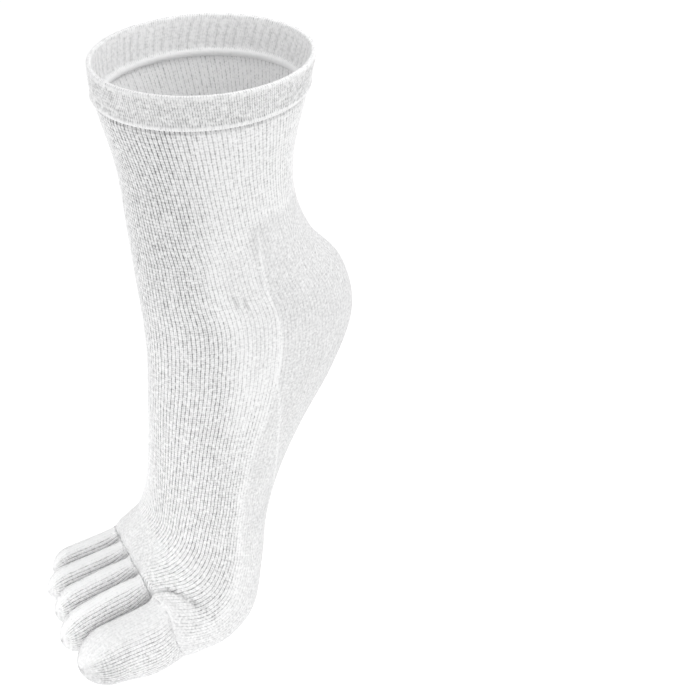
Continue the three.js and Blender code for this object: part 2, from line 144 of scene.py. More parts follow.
# How plain the knit is, 0 for ribs and 1 for none, and where each zone sets in:
# shares of the way round from the shin, and places
PLAIN = 0.8
PLAIN_SHARES = (0.19, 0.26)
PLAIN_PLACES = (2.0, 3.0)
SOLE_LESS = 0.15
SOLE_PLACES = (9, 11)
SIDE_CALM = 0.2
SIDE_SHARES = (0.09, 0.2)
LEG_CALM = 0.25
LEG_FADE = (6.5, 9)
ANKLE_CALM = 0.2
ANKLE_START = (2.5, 3.5)
ANKLE_END = (5, 8)
OUTER_CALM = 0.3
OUTER_MORE = 0.12
OUTER_SHARES = (-0.07, 0.1)
FOOT_CALM = 0.15
FOOT_START = (3, 5)
FOREFOOT_CALM = 0.1
FOREFOOT_START = (10, 12.5)
# Painted shade: the plainest knit, round the heel and along the sole, is drawn a little darker
PLAIN_PAINTED_SHADE = 0.43
PLAIN_PAINTED_SHADE_RANGE = (0.5, 0.8)

# Relief of the tube: depth of the ridges on plain knit, and what ribs and the leg add
RIDGE = 0.12
RIDGE_ON_RIBS = 0.3
RIDGE_ON_LEG = 0.12
LEG_RIDGE_FADE = (1.8, 2.6)
RIDGE_LEVEL = 0.25
FRONT_LESS = 0.6
FRONT_PLACES = (13.5, 15)
# Stretched smooth behind the forks of the toes, and darkened there with painted shade
CALM_RANGE = (-32, -8)
CALM_REACH = 12
CALM_WIDTH = 30
CALM_SHARES = (0.17, 0.23)
CALM_SIDE = (6, 20)
CALM_RIB = 0.75
CALM_RIDGE = 0.85
CALM_SHADE = 0.4
# By the root of the big toe, with fewer ribs and painted shade
BIG_TOE_SIDE = (20, 26)
NEAR_SEAM = (-8, 0)
NEAR_SEAM_RIB = 0.6
NEAR_SEAM_SHADE = 0.3
# Ridges end before the seam between the forefoot and the toes
RELIEF_END = (-4.5, -0.8)
# Raised side line: share of the way round by place, its width, height, ends and painted highlight
SIDE_LINE_TABLE = [(2.2, 0.254), (3.1, 0.263), (4.4, 0.248), (6.4, 0.232), (9.2, 0.345), (12, 0.35)]
SIDE_LINE_WIDTH = 0.0035
SIDE_LINE_HEIGHT = 0.35
SIDE_LINE_START = (2.4, 3.4)
SIDE_LINE_END = (10, 12)
SIDE_LINE_PAINTED_HIGHLIGHT = 0.25
# Groove under the cuff: place, width, depth and painted shadow
CUFF_GROOVE_PLACE = 1.035
CUFF_GROOVE_WIDTH = 0.035
CUFF_GROOVE_DEPTH = 0.5
CUFF_GROOVE_SHADE = 0.45
# Small wrinkles over the ankle: share at the start and the end, and the places of both
WRINKLES = [(0.1865, 0.189, 3.95, 4.42), (0.2055, 0.202, 4.05, 4.5)]
WRINKLE_WIDTH = 0.0018
WRINKLE_LENGTH = 0.33
WRINKLE_DEPTH = 0.5
# Painted shade in the wrinkles
WRINKLE_SHADE = 0.6

# The opening is wider than the cuff's own flare, and dips towards the big toe's side
OPEN_AT_RIM = 1.9
OPEN_AT_CUFF = 1.5
OPEN_FADE = (0.9, 2.0)
DIP = 1.7
DIP_NEAR = 2.2
DIP_LEFT = 0.9
TILT_TURN = math.radians(60)
TILT_FADE = (1.0, 2.4)

# Where the forefoot and the toes run into one another
BLEND = 5.0
FORK_ROUND = 5.0
PROBE = 0.05
SETTLE_ROUNDS = 9
LEAST_SLOPE = 0.3
SEAM_PULL = 0.35
SEAM_BACK = 2.0
SEAM_REACH = 6
TUCK = 0.7
TUCK_RANGE = (0.4, 2.4)
KEPT_PAST_SEAM = 2.2
SETTLED_FROM = 12       # place
FAR_BEHIND = -90.0
LEAST_GROWTH = 1e-3
FOREFOOT_END = 14.35    # place where the forefoot gives way to the toes
FIELD_FROM = 10.5
FIELD_PLACES = 1801
SEARCH_ROUNDS = 11
WIDEST_SIDE = 1.2
VALLEY_DEPTH = 1.6
VALLEY_BELOW = 0.6
VALLEY_WIDTH = 3.4
VALLEY_LENGTH = 11.0
# The front of the forefoot closes behind the toes: shares of the way in, and how wide it ends
FRONT_SHARES = (0.04, 0.08, 0.13, 0.19, 0.26, 0.34, 0.44, 0.56, 0.7, 0.85, 0.97)
FRONT_WIDTH = 0.97
FRONT_PLACE_STEP = 0.05

# Inside of the tube: every second row and column, the wide low ribs of the knit's back
INNER_RIDGE = 0.3
INNER_TURN = 0.25
INNER_RIB = 0.5
# Painted light on the inside
INNER_PAINTED_LIGHT = 0.15
INNER_END = 14

# Fold round the base of the big toe: path, ends, depth, width and painted shade, and the raised cloth beside
# it
FOLD = [
    (18.8, -34.6, 23.5), (23.5, -35.0, 29.0), (27.2, -34.0, 32.4), (30.7, -30.7, 34.6), (36.3, -27.5, 34.5),
    (42.0, -24.4, 33.3), (45.3, -21.8, 31.3), (48.0, -19.2, 28.9), (49.8, -16.2, 25.7),
]
FOLD_START = (0, 0.12)
FOLD_END = (0.75, 1)
FOLD_DEPTH = 1.1
FOLD_WIDTH = 1.0
FOLD_SHADE = 0.7
BEHIND_FOLD = (0.8, 2.8, 1.7)     # height, distance from the fold, width
BEFORE_FOLD = (0.5, -3.0, 2.2)

# Cuff profile: out in shares of the cuff's proud size, wall and ledge, and up in shares of its height
CUFF_PROFILE = [
    (0.3, 0, 0, -0.01), (1.2, 0, 0, 0.0), (1.9, 0, 0, 0.03), (1.9, 0, 0, 0.06), (1.3, 0, 0, 0.1),
    (1, 0, 0, 0.16), (1, 0, 0, 0.9), (1, 0.05, 0, 0.955), (1, 0.2, 0, 0.985), (1, 0.5, 0, 1),
    (1, 0.8, 0, 0.985), (1, 0.95, 0, 0.955), (1, 1, 0, 0.9), (1, 1, 0, 0.06), (1, 1, 0.4, 0.03),
    (1, 1, 1, 0.0), (1, 1, 1, -0.05), (1, 1, 0.5, -0.09), (1, 0.9, 0, -0.11), (1, 0.5, 0, -0.11),
]
# Points of the profile where the lip ends, the fold begins and ends, and the ledge begins
LIP_END = 4
FOLD_OVER_START = 6
FOLD_OVER_END = 12
LEDGE_START = 14
PROFILE_STEP = 0.9
# Its ridges, with stitches half as wide outside and ribs of two wales inside
CUFF_RIDGE = 0.2
CUFF_RIDGE_LEVEL = 0.2
CUFF_RIDGE_FADE = (0.8, 0.96)
BAND_RIDGE = 0.35
BAND_RIDGE_LEVEL = 0.4
BAND_RIDGE_START = (0, 4)
CUFF_RIB = 0.8
CUFF_RIB_FADE = 0.3
BAND_RIB = 0.2
LEDGE_RIB = 0.1
FOLD_OVER_RIB = 0.5
LIP_RIB = 0.35
# Painted shade on the inner band, deeper in the grooves of its ribs
BAND_SHADE = 0.12
BAND_GROOVE_SHADE = 0.35

# Rows of a toe's grid: step at the root and along the toe, and rows in the tip
TOE_START = 0.9
ROOT_ROWS_TO = 8.0
ROOT_ROW_STEP = 0.9
TOE_ROW_STEP = 1.6
TIP_ROWS = 15
TIP_GAP = 0.002
GIRTH_AT = 0.4
# At the root the wales of the sides turn up towards the instep
ROOT_TURN = 6.0
ROOT_TURN_FROM = 21
ROOT_TURN_LENGTH = 18
ROOT_TURN_MOST = 1.4
# The tops of the toes are stretched smooth: how much, and the shares of the way round from the top
BIG_CALM = 0.8
BIG_CALM_SHARES = (0.06, 0.17)
TOE_CALM = 0.7
TOE_CALM_SHARES = (0.01, 0.09)
TOE_RIDGE = 0.34
TOE_RIDGE_LEVEL = 0.3
TOE_RELIEF_END = (-3.5, -0.8)
TIP_RIDGE_LESS = 0.85
TIP_RIB_LESS = 0.5
TIP_SHARE = 0.5
# Painted light and shade on the toes: painted shade on the big one's top and tip, painted light on the
# others, and painted shade at the roots
BIG_SHADE = 0.5
TIP_SHADE = 0.4
TIP_SHADE_FROM = 6
TIP_SHADE_TO = 2
TOE_PAINTED_LIGHT = {"second": 0.14, "third": 0.14, "fourth": 0.25, "little": 0.25}
ROOT_SHADE = 0.25
ROOT_SHADE_RANGE = (-7, 0)
# Inside of a toe
TOE_INSIDE_FROM = 2
TOE_INSIDE_COLUMNS = 3
TOE_INSIDE_RIB = 0.6

# Materials: colours of the painted shade in the grooves and of the yarn, and the shader's own values
GROOVE_PAINTED_SHADE_COLOUR = (0.2, 0.2, 0.205)
YARN_COLOUR = (0.93, 0.93, 0.932)
TOE_GROOVE_PAINTED_SHADE_COLOUR = (0.42, 0.42, 0.425)
TOE_YARN_COLOUR = (0.92, 0.92, 0.922)
SPECULAR = 0.25
SHEEN = 0.15
SHEEN_ROUGHNESS = 0.5
# Scale and detail of each noise
WANDER = (420, 2)
SPECKLE = (800, 3)
UNEVEN = (560, 2)
PATCH = (60, 2)
# How far the yarn wanders across and along, and how far a stitch leans, in wales and courses
WANDER_ACROSS = 0.3
WANDER_ALONG = 0.5
STITCH_LEAN = 0.45
# Shares of the height, and how strong each part of the shade and the bump is; the shade in the grooves and
# from the attribute is painted shade
RIDGE_SHARE = 0.42
LEGS_SHARE = 0.36
STITCH_SHARE = 0.22
UNEVENNESS = 2.4
TOP_SHADE = 1.1
GROOVE_SHADE = 1.15
PATCH_SHADE = 0.1
PAINTED_SHADE_DEPTH = 0.6
BUMP_STRENGTH = 0.7
BUMP_DISTANCE = 0.0005
SPECKLE_HEIGHT = 0.6

# Floor, in metres
FLOOR_REACH = 6.0
FLOOR_HEIGHT = -0.45
FLOOR_COLOUR = (0.95, 0.95, 0.95, 1)
FLOOR_GLOW = 0.36

# Light: the room's strength, and each lamp's name, place, aim, size, power and spread
WHITE = (1, 1, 1, 1)
ROOM_LIGHT = 0.712
LAMPS = [
    ("above", (0.08, 0.12, 0.3), (0, 0, -0.1), 0.2, 0.64, 180),
    ("left", (-0.5, -0.9, 0.1), (0, 0, -0.15), 0.5, 1.8, 180),
    ("right", (0.7, 0.5, -0.3), (0, 0, -0.2), 0.4, 0.68, 180),
    ("toes", (-0.12, -0.4, -0.02), (0, -0.06, -0.29), 0.25, 0.023, 45),
    ("toe_side", (0.4, -0.34, -0.14), (0.01, -0.08, -0.29), 0.2, 0.042, 40),
]

# Camera, at the photograph's viewing angle, with the picture's pixel that the target falls on
AZIMUTH = math.radians(60)
ELEVATION = math.radians(30)
CAMERA_DISTANCE = 0.7719
TARGET = Vector((0, -0.001303, -0.153714))
TARGET_PIXEL = (200, 349)
FOCAL_PIXELS = 1560
IMAGE_SIZE = 700
SENSOR = 36


# Sections at their real size

def foot_height(share):
    above = HEEL_HEIGHT - FOREFOOT_HEIGHT
    return share * FOREFOOT_HEIGHT if share < 1 else FOREFOOT_HEIGHT + (share - 1) * above


def leg_height(share):
    return HEEL_HEIGHT + share * LEG_RISE


def real_section(row, depth, width, height):
    return [
        row[FRONT_Y] * depth, height(row[FRONT_Z]), row[BACK_Y] * depth, height(row[BACK_Z]),
        row[MEDIAL] * width, row[LATERAL] * width, row[SQUARE], row[SLANT] * width / 2, row[TAPER],
    ]


def axes(rows):
    """Middle, half depth, and the axes across and along each section, in the y-z plane"""
    front = rows[..., [FRONT_Y, FRONT_Z]]
    back = rows[..., [BACK_Y, BACK_Z]]
    across = front - back
    length = np.linalg.norm(across, axis=-1, keepdims=True)
    across = across / length
    along = np.stack([-across[..., 1], across[..., 0]], axis=-1)
    return (front + back) / 2, length[..., 0] / 2, across, along


def grown(rows, out, up=0.0):
    """Sections made wider all round by out, and raised square to themselves"""
    rows = rows.copy()
    across = axes(rows)[2]
    y, z = across[..., 0], across[..., 1]
    rows[..., FRONT_Y] += y * out - z * up
    rows[..., FRONT_Z] += z * out - y * up
    rows[..., BACK_Y] += -y * out - z * up
    rows[..., BACK_Z] += -z * out - y * up
    rows[..., MEDIAL] += out
    rows[..., LATERAL] += out
    return rows


leg_rows = [real_section(row, LEG_DEPTH, LEG_WIDTH, leg_height) for row in LEG_SECTIONS]
foot_rows = [real_section(row, FOOT_DEPTH, HEEL_WIDTH, foot_height) for row in HEEL_SECTIONS]
foot_rows += [real_section(row, FOOT_DEPTH, BALL_WIDTH, foot_height) for row in FOREFOOT_SECTIONS]
rim = grown(np.array(leg_rows[0]), CUFF_FLARE_WIDTH, CUFF_HEIGHT)
SECTIONS = np.array([rim, *leg_rows, *foot_rows])
FORK = len(SECTIONS) - 1
RIM_MIDDLE = np.array([0, *axes(SECTIONS[0])[0]])


def section_at(place):
    """Smooth sections at places between the rim, 0, and the forks of the toes, FORK"""
    place = np.atleast_1d(np.asarray(place, float))
    index = np.clip(np.floor(place).astype(int), 0, FORK - 1)
    u = (place - index)[:, None]
    start = SECTIONS[index]
    end = SECTIONS[index + 1]
    slope_start = np.where((index > 0)[:, None], (end - SECTIONS[np.maximum(index - 1, 0)]) / 2, end - start)
    after = SECTIONS[np.minimum(index + 2, FORK)]
    slope_end = np.where((index + 2 <= FORK)[:, None], (after - start) / 2, end - start)
    return (start * (2 * u**3 - 3 * u**2 + 1) + slope_start * (u**3 - 2 * u**2 + u)
            + end * (3 * u**2 - 2 * u**3) + slope_end * (u**3 - u**2))


def signed_power(value, power):
    return np.sign(value) * np.abs(value) ** power


def even_ring(x, y, shares):
    """Points at shares of the length of a closed outline"""
    lengths = np.concatenate([[0], np.cumsum(np.hypot(np.diff(x), np.diff(y)))])
    goal = shares * lengths[-1]
    return np.interp(goal, lengths, x), np.interp(goal, lengths, y)


def loft(rows, shares):
    """A grid of points: one row of points for each section, from the shin towards the big toe's side"""
    angle = np.linspace(0, 2 * math.pi, OUTLINE_POINTS)
    sine, cosine = np.sin(angle), np.cos(angle)
    middle, half, across, along = axes(rows)
    grid = np.empty((len(rows), len(shares), 3))
    for i, row in enumerate(rows):
        width = np.where(sine > 0, row[MEDIAL], row[LATERAL])
        widest = max(row[MEDIAL], row[LATERAL])
        x = signed_power(sine, 2 / row[SQUARE]) * width
        y = signed_power(cosine, 2 / row[SQUARE]) * half[i]
        x, y = even_ring(x, y * (1 + row[TAPER] * x / widest), shares)
        side = x / widest
        y = y + row[TAPER] * half[i] * side
        slant = row[SLANT] * side
        grid[i, :, 0] = x
        grid[i, :, 1] = middle[i, 0] + across[i, 0] * y + along[i, 0] * slant
        grid[i, :, 2] = middle[i, 1] + across[i, 1] * y + along[i, 1] * slant
    return grid


def places_between(start, end, step):
    """Places in about equal steps of length along the middle of the sock"""
    fine = np.linspace(start, end, FINE_PLACES)
    middle = axes(section_at(fine))[0]
    lengths = np.concatenate([[0], np.cumsum(np.linalg.norm(np.diff(middle, axis=0), axis=1))])
    count = max(2, round(lengths[-1] / step))
    return np.interp(np.linspace(0, lengths[-1], count + 1), lengths, fine)


def normals(grid, closed=True):
    """Outward normals of a grid whose columns run round, and whose rows run down to the toes"""
    down = np.gradient(grid, axis=0)
    if closed:
        right = np.roll(grid, -1, axis=1) - np.roll(grid, 1, axis=1)
    else:
        right = np.gradient(grid, axis=1)
    normal = np.cross(down, right)
    return normal / np.maximum(np.linalg.norm(normal, axis=2, keepdims=True), TINY)


def smooth_step(low, high, value):
    share = np.clip((value - low) / (high - low), 0, 1)
    return share * share * (3 - 2 * share)


def bell(value, width):
    """1 at 0, and falling smoothly to both sides"""
    return np.exp(-(value / width) ** 2)


def knit_shift(place, share):
    """Wales to add to the count round the sock, where the knit leans or spreads"""
    lean = np.interp(place, *zip(*LEAN_TABLE))
    spread = np.interp(place, *zip(*SPREAD_TABLE))
    return -lean - spread * WALES * np.sin(2 * math.pi * share) / (2 * math.pi)


def opened(grid, places):
    """Widens the sock at the opening and tilts its rim"""
    places = places[:, None]
    x = grid[..., 0]
    y = grid[..., 1] - RIM_MIDDLE[1]
    radius = np.hypot(x, y)
    rim_share = np.clip(1 - places, 0, 1)
    wider = (OPEN_AT_CUFF + (OPEN_AT_RIM - OPEN_AT_CUFF) * rim_share) * (1 - smooth_step(*OPEN_FADE, places))
    tilt = 1 - smooth_step(*TILT_FADE, places)
    near = (x * math.sin(TILT_TURN) - y * math.cos(TILT_TURN)) / radius
    right = (x * math.cos(TILT_TURN) + y * math.sin(TILT_TURN)) / radius
    moved = grid.copy()
    moved[..., 0] += x / radius * wider
    moved[..., 1] += y / radius * wider
    moved[..., 2] += tilt * (DIP_LEFT * right - DIP_NEAR * near - DIP)
    return moved


# Toes at their real size

class Toe:
    def __init__(self, row, edge, row_width):
        name, width, length, root_y, splay, lift, height, rise, arch, pad = row
        angle = math.radians(splay)
        self.name = name
        self.width = width * row_width
        self.length = length * TOE_LENGTH
        self.root = np.array([edge - self.width / 2, root_y * FOOT_DEPTH])
        self.forward = np.array([math.sin(angle), -math.cos(angle)])
        self.side = np.array([math.cos(angle), math.sin(angle)])
        self.lift = lift * FOREFOOT_HEIGHT
        self.height = height * FOREFOOT_HEIGHT
        self.rise = rise * FOREFOOT_HEIGHT
        self.arch = arch * FOREFOOT_HEIGHT
        self.pad = pad * FOREFOOT_HEIGHT
        self.tip = TIP_LENGTH * self.width

    def shape(self, distance):
        """Half width, half height, middle height and the share into the tip, at distances from the root"""
        share = np.clip(distance / self.length, 0, 1)
        into_tip = np.maximum(0, (distance - self.length + self.tip) / self.tip)
        buried = np.clip(-distance / (TOE_BURIED * TOE_LENGTH), 0, 1)
        size = 1 - (1 - TOE_BURIED_END) * buried
        top = (self.lift + self.height + self.rise * (1 - share) ** RISE_POWER
               + self.arch * np.sin(math.pi * share ** ARCH_POWER))
        bottom = self.lift - self.pad * bell(share - PAD_MIDDLE, PAD_SPREAD)
        waist = WAIST * np.sin(math.pi * np.minimum(share / WAIST_END, 1))
        half_width = self.width / 2 * size * (1 - waist)
        half_height = (top - bottom) / 2 * size
        middle = (top + bottom) / 2 - self.height * TIP_DROOP * into_tip
        return half_width, half_height, middle, into_tip

    def grid(self, distances, shares):
        half_width, half_height, middle, into_tip = self.shape(distances)
        size = np.sqrt(np.maximum(0, 1 - np.minimum(into_tip, 1) ** TIP_POWER))
        angle = np.linspace(0, 2 * math.pi, TOE_OUTLINE_POINTS)
        x = signed_power(np.sin(angle), 2 / TOE_SQUARE)
        y = signed_power(np.cos(angle), 2 / TOE_SQUARE)
        grid = np.empty((len(distances), len(shares), 3))
        for i, distance in enumerate(distances):
            # the outline of a full ring gives the columns, so that they run straight into the tip
            across, up = even_ring(x * half_width[i], y * half_height[i], shares)
            centre = self.root + self.forward * distance
            grid[i, :, 0] = centre[0] + self.side[0] * across * size[i]
            grid[i, :, 1] = centre[1] + self.side[1] * across * size[i]
            grid[i, :, 2] = middle[i] + up * size[i]
        return grid

    def field(self, points):
        """About the distance outside the toe, negative inside"""
        offset = points[..., :2] - self.root
        distance = offset @ self.forward
        across = np.abs(offset @ self.side)
        half_width, half_height, middle, into_tip = self.shape(distance)
        up = np.abs(points[..., 2] - middle)
        ring, slope = oval(across, up, half_width, half_height, TOE_SQUARE)
        whole = np.sqrt(ring**2 + into_tip**TIP_POWER) + SMALL
        tip_slope = TIP_POWER / 2 * into_tip ** (TIP_POWER - 1) / self.tip / whole
        value = (whole - 1) / np.sqrt((ring / whole * slope) ** 2 + tip_slope**2 + SMALL)
        return np.maximum(value, -TOE_BURIED * TOE_LENGTH - distance)


def oval(across, up, half_width, half_height, power):
    """How far out a point is in an oval, 1 on its edge, and how fast that grows"""
    a = across / half_width
    b = up / half_height
    ring = (a**power + b**power + TINY) ** (1 / power)
    slope = ring ** (1 - power) * np.hypot(a ** (power - 1) / half_width, b ** (power - 1) / half_height)
    return ring, slope


toe_row_width = BALL_WIDTH - TOE_GAP * (len(TOE_TABLE) - 1)
toes = []
valleys = []
toe_edge = BALL_WIDTH / 2
for toe_row in TOE_TABLE:
    toes.append(Toe(toe_row, toe_edge, toe_row_width))
    toe_edge -= toes[-1].width + TOE_GAP
    valleys.append(toe_edge + TOE_GAP / 2)
valleys.pop()

# The forefoot as a field, for joining the toes to it
field_places = np.linspace(FIELD_FROM, FORK, FIELD_PLACES)
field_rows = section_at(field_places)
field_middle, _, _, field_along = axes(field_rows)
field_widest = np.maximum(field_rows[:, MEDIAL], field_rows[:, LATERAL])
end_index = int(np.argmin(np.abs(field_places - FOREFOOT_END)))


def ahead(points, index):
    """How far each point is ahead of the section that its index names"""
    offset = points[..., 1:] - field_middle[index]
    level = np.sum(offset * field_along[index], axis=-1)
    return level - field_rows[index, SLANT] * points[..., 0] / field_widest[index]


def foot_field(points):
    """About the distance outside the forefoot, negative inside"""
    low = np.zeros(points.shape[:-1], int)
    high = np.full(points.shape[:-1], len(field_places) - 1)
    for _ in range(SEARCH_ROUNDS):
        middle = (low + high) // 2
        past = ahead(points, middle) > 0
        low = np.where(past, middle, low)
        high = np.where(past, high, middle)
    gap_low = ahead(points, low)
    gap_high = ahead(points, high)
    mix = np.clip(gap_low / (gap_low - gap_high + TINY), 0, 1)[..., None]
    rows = field_rows[low] * (1 - mix) + field_rows[high] * mix
    middle, half, across, _ = axes(rows)
    x = points[..., 0]
    side = x / np.maximum(rows[..., MEDIAL], rows[..., LATERAL])
    y = np.sum((points[..., 1:] - middle) * across, axis=-1)
    widening = 1 + rows[..., TAPER] * np.clip(side, -WIDEST_SIDE, WIDEST_SIDE)
    y = (y - rows[..., TAPER] * half * side) / widening
    width = np.where(x > 0, rows[..., MEDIAL], rows[..., LATERAL])
    ring, slope = oval(np.abs(x), np.abs(y), width, half, rows[..., SQUARE])
    value = (ring - 1) / np.maximum(slope, LEAST_GROWTH)
    past_end = ahead(points, np.full(points.shape[:-1], end_index))
    # valleys run back from the forks, deeper on top than below
    near = smooth_step(-VALLEY_LENGTH, 0, past_end)
    depth = VALLEY_DEPTH * np.where(y > 0, 1, VALLEY_BELOW)
    for valley in valleys:
        value = value + near * depth * bell(x - valley, VALLEY_WIDTH)
    end = past_end + FORK_ROUND
    value = value + FORK_ROUND
    both = np.hypot(np.maximum(value, 0), np.maximum(end, 0))
    return both + np.minimum(np.maximum(value, end), 0) - FORK_ROUND


def smooth_min(a, b, blend):
    close = np.maximum(blend - np.abs(a - b), 0) / blend
    return np.minimum(a, b) - close**2 * blend / 4


def settle(grid, own, other, blend):
    """Moves points onto the smooth surface that two bodies share"""
    for _ in range(SETTLE_ROUNDS):
        value = smooth_min(own(grid), other(grid), blend)
        slope = np.stack([
            (smooth_min(own(grid + step), other(grid + step), blend) - value) / PROBE
            for step in np.eye(3) * PROBE], axis=-1)
        steepness = np.maximum(np.linalg.norm(slope, axis=-1, keepdims=True), LEAST_SLOPE)
        grid = grid - slope / steepness * np.clip(value[..., None] / steepness, -1, 1)
    return grid


def toe_territory(points, toe_value):
    """How far each point is on the toes' side of the seam with the forefoot, negative on the other"""
    past_end = ahead(points, np.full(points.shape[:-1], end_index))
    return foot_field(points) - toe_value + SEAM_PULL * np.clip(past_end + SEAM_BACK, -SEAM_REACH, SEAM_REACH)


def tuck(grid, normal, depth):
    """Sinks points that are in the other body's territory"""
    return grid - normal * (TUCK * smooth_step(*TUCK_RANGE, depth))[..., None]


def kept(depth):
    """Faces with a corner in the body's own territory, or just past the seam"""
    nearest = np.minimum.reduce([
        depth[:-1], depth[1:], np.roll(depth, -1, 1)[:-1], np.roll(depth, -1, 1)[1:]])
    return nearest < KEPT_PAST_SEAM


def toes_field(points):
    value = toes[0].field(points)
    for toe in toes[1:]:
        value = np.minimum(value, toe.field(points))
    return value


def from_path(points, path):
    """Distance of points to a path, 1 where they lie behind it and -1 in front, and the share along it"""
    path = np.array(path)
    pieces = np.diff(path, axis=0)
    lengths = np.linalg.norm(pieces, axis=1)
    starts = np.concatenate([[0], np.cumsum(lengths)])
    gap = np.full(points.shape[:-1], np.inf)
    side = np.ones(points.shape[:-1])
    share = np.zeros(points.shape[:-1])
    for i, piece in enumerate(pieces):
        along = np.clip((points - path[i]) @ piece / lengths[i] ** 2, 0, 1)
        offset = points - path[i] - along[..., None] * piece
        here = np.linalg.norm(offset, axis=-1)
        nearer = here < gap
        gap = np.where(nearer, here, gap)
        side = np.where(nearer, np.where(offset[..., 1:] @ field_along[end_index] < 0, 1, -1), side)
        share = np.where(nearer, (starts[i] + along * lengths[i]) / starts[-1], share)
    return gap, side, share


# Knit relief

def wale_ridge(u):
    """Rounded ridges with sharp grooves between them, from -1 to 0"""
    return np.abs(np.sin(math.pi * u)) ** RIDGE_POWER - 1


def rib_weight(place, share):
    """1 where the knit is ribbed, towards 0 where it is plain: round the heel and along the sole"""
    from_front = np.minimum(share, 1 - share)
    plain = (PLAIN - SOLE_LESS * smooth_step(*SOLE_PLACES, place)) * smooth_step(*PLAIN_SHARES, from_front)
    plain = plain * smooth_step(*PLAIN_PLACES, place)
    on_leg = 1 - smooth_step(*LEG_FADE, place)
    on_ankle = smooth_step(*ANKLE_START, place) * (1 - smooth_step(*ANKLE_END, place))
    sides = (SIDE_CALM + LEG_CALM * on_leg + ANKLE_CALM * on_ankle) * smooth_step(*SIDE_SHARES, from_front)
    from_shin = np.where(share > 0.5, 1 - share, -share)
    on_foot = smooth_step(*FOOT_START, place)
    outer = (OUTER_CALM + OUTER_MORE * on_foot) * smooth_step(*OUTER_SHARES, from_shin)
    foot = FOOT_CALM * on_foot + FOREFOOT_CALM * smooth_step(*FOREFOOT_START, place)
    return 1 - np.maximum.reduce([plain, sides, outer, foot])


# Grids into pieces

def place_in_frame(points):
    return (points - RIM_MIDDLE) * MILLIMETRE


class Sheet:
    """A grid of points with its knit coordinates, rib weights and painted shade, and the faces that are kept
    """

    def __init__(self, grid, normal, wales, courses, rib, painted_shade, facing=1, keep=None, bend=None):
        self.grid = grid
        self.normal = normal
        self.wales = wales          # wale number of each column, one more than the columns
        self.courses = courses      # course number of each row
        self.rib = rib
        self.painted_shade = painted_shade
        self.facing = facing
        rows, columns = grid.shape[:2]
        self.bend = np.zeros((rows, columns)) if bend is None else bend    # added to the wale number
        self.keep = np.ones((rows - 1, len(wales) - 1), bool) if keep is None else keep


def make_piece(name, node, material, sheets):
    points, normal, faces, knit, rib, painted_shade = [], [], [], [], [], []
    first = 0
    for sheet in sheets:
        rows, columns = sheet.grid.shape[:2]
        i, j = np.nonzero(sheet.keep)
        corners = []
        uv = []
        for down, across in ((0, 0), (1, 0), (1, 1), (0, 1)):
            row, column = i + down, (j + across) % columns
            corners.append(row * columns + column)
            uv.append(np.stack([sheet.wales[j + across] + sheet.bend[row, column], sheet.courses[row]], 1))
        corners = np.stack(corners, 1)
        uv = np.stack(uv, 1)
        if sheet.facing < 0:
            corners = corners[:, ::-1]
            uv = uv[:, ::-1]
        used, corners = np.unique(corners, return_inverse=True)
        corners = corners.reshape(-1, 4)
        points.append(sheet.grid.reshape(-1, 3)[used])
        normal.append(sheet.normal.reshape(-1, 3)[used] * sheet.facing)
        rib.append(sheet.rib.reshape(-1)[used])
        painted_shade.append(sheet.painted_shade.reshape(-1)[used])
        faces.append(corners + first)
        knit.append(uv.reshape(-1, 2))
        first += len(used)
    points = place_in_frame(np.concatenate(points))
    faces = np.concatenate(faces)
    mesh = bpy.data.meshes.new(name)
    mesh.vertices.add(len(points))
    mesh.vertices.foreach_set("co", points.astype(np.float32).ravel())
    mesh.loops.add(faces.size)
    mesh.loops.foreach_set("vertex_index", faces.astype(np.int32).ravel())
    mesh.polygons.add(len(faces))
    mesh.polygons.foreach_set("loop_start", np.arange(0, faces.size, 4, dtype=np.int32))
    mesh.update(calc_edges=True)
    mesh.uv_layers.new(name="knit").data.foreach_set("uv", np.concatenate(knit).astype(np.float32).ravel())
    # the rib weights, and the painted shade, which paints light where it is below 0, go to the shader
    for label, values in (("rib", rib), ("painted_shade", painted_shade)):
        layer = mesh.attributes.new(label, "FLOAT", "POINT")
        layer.data.foreach_set("value", np.concatenate(values).astype(np.float32))
    mesh.polygons.foreach_set("use_smooth", np.ones(len(faces), bool))
    mesh.normals_split_custom_set_from_vertices(np.concatenate(normal))
    mesh.materials.append(material)
    mesh.validate()
    piece = bpy.data.objects.new(name, mesh)
    bpy.context.scene.collection.objects.link(piece)
    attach(piece, "root")
    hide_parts(node)
    return piece


# Materials

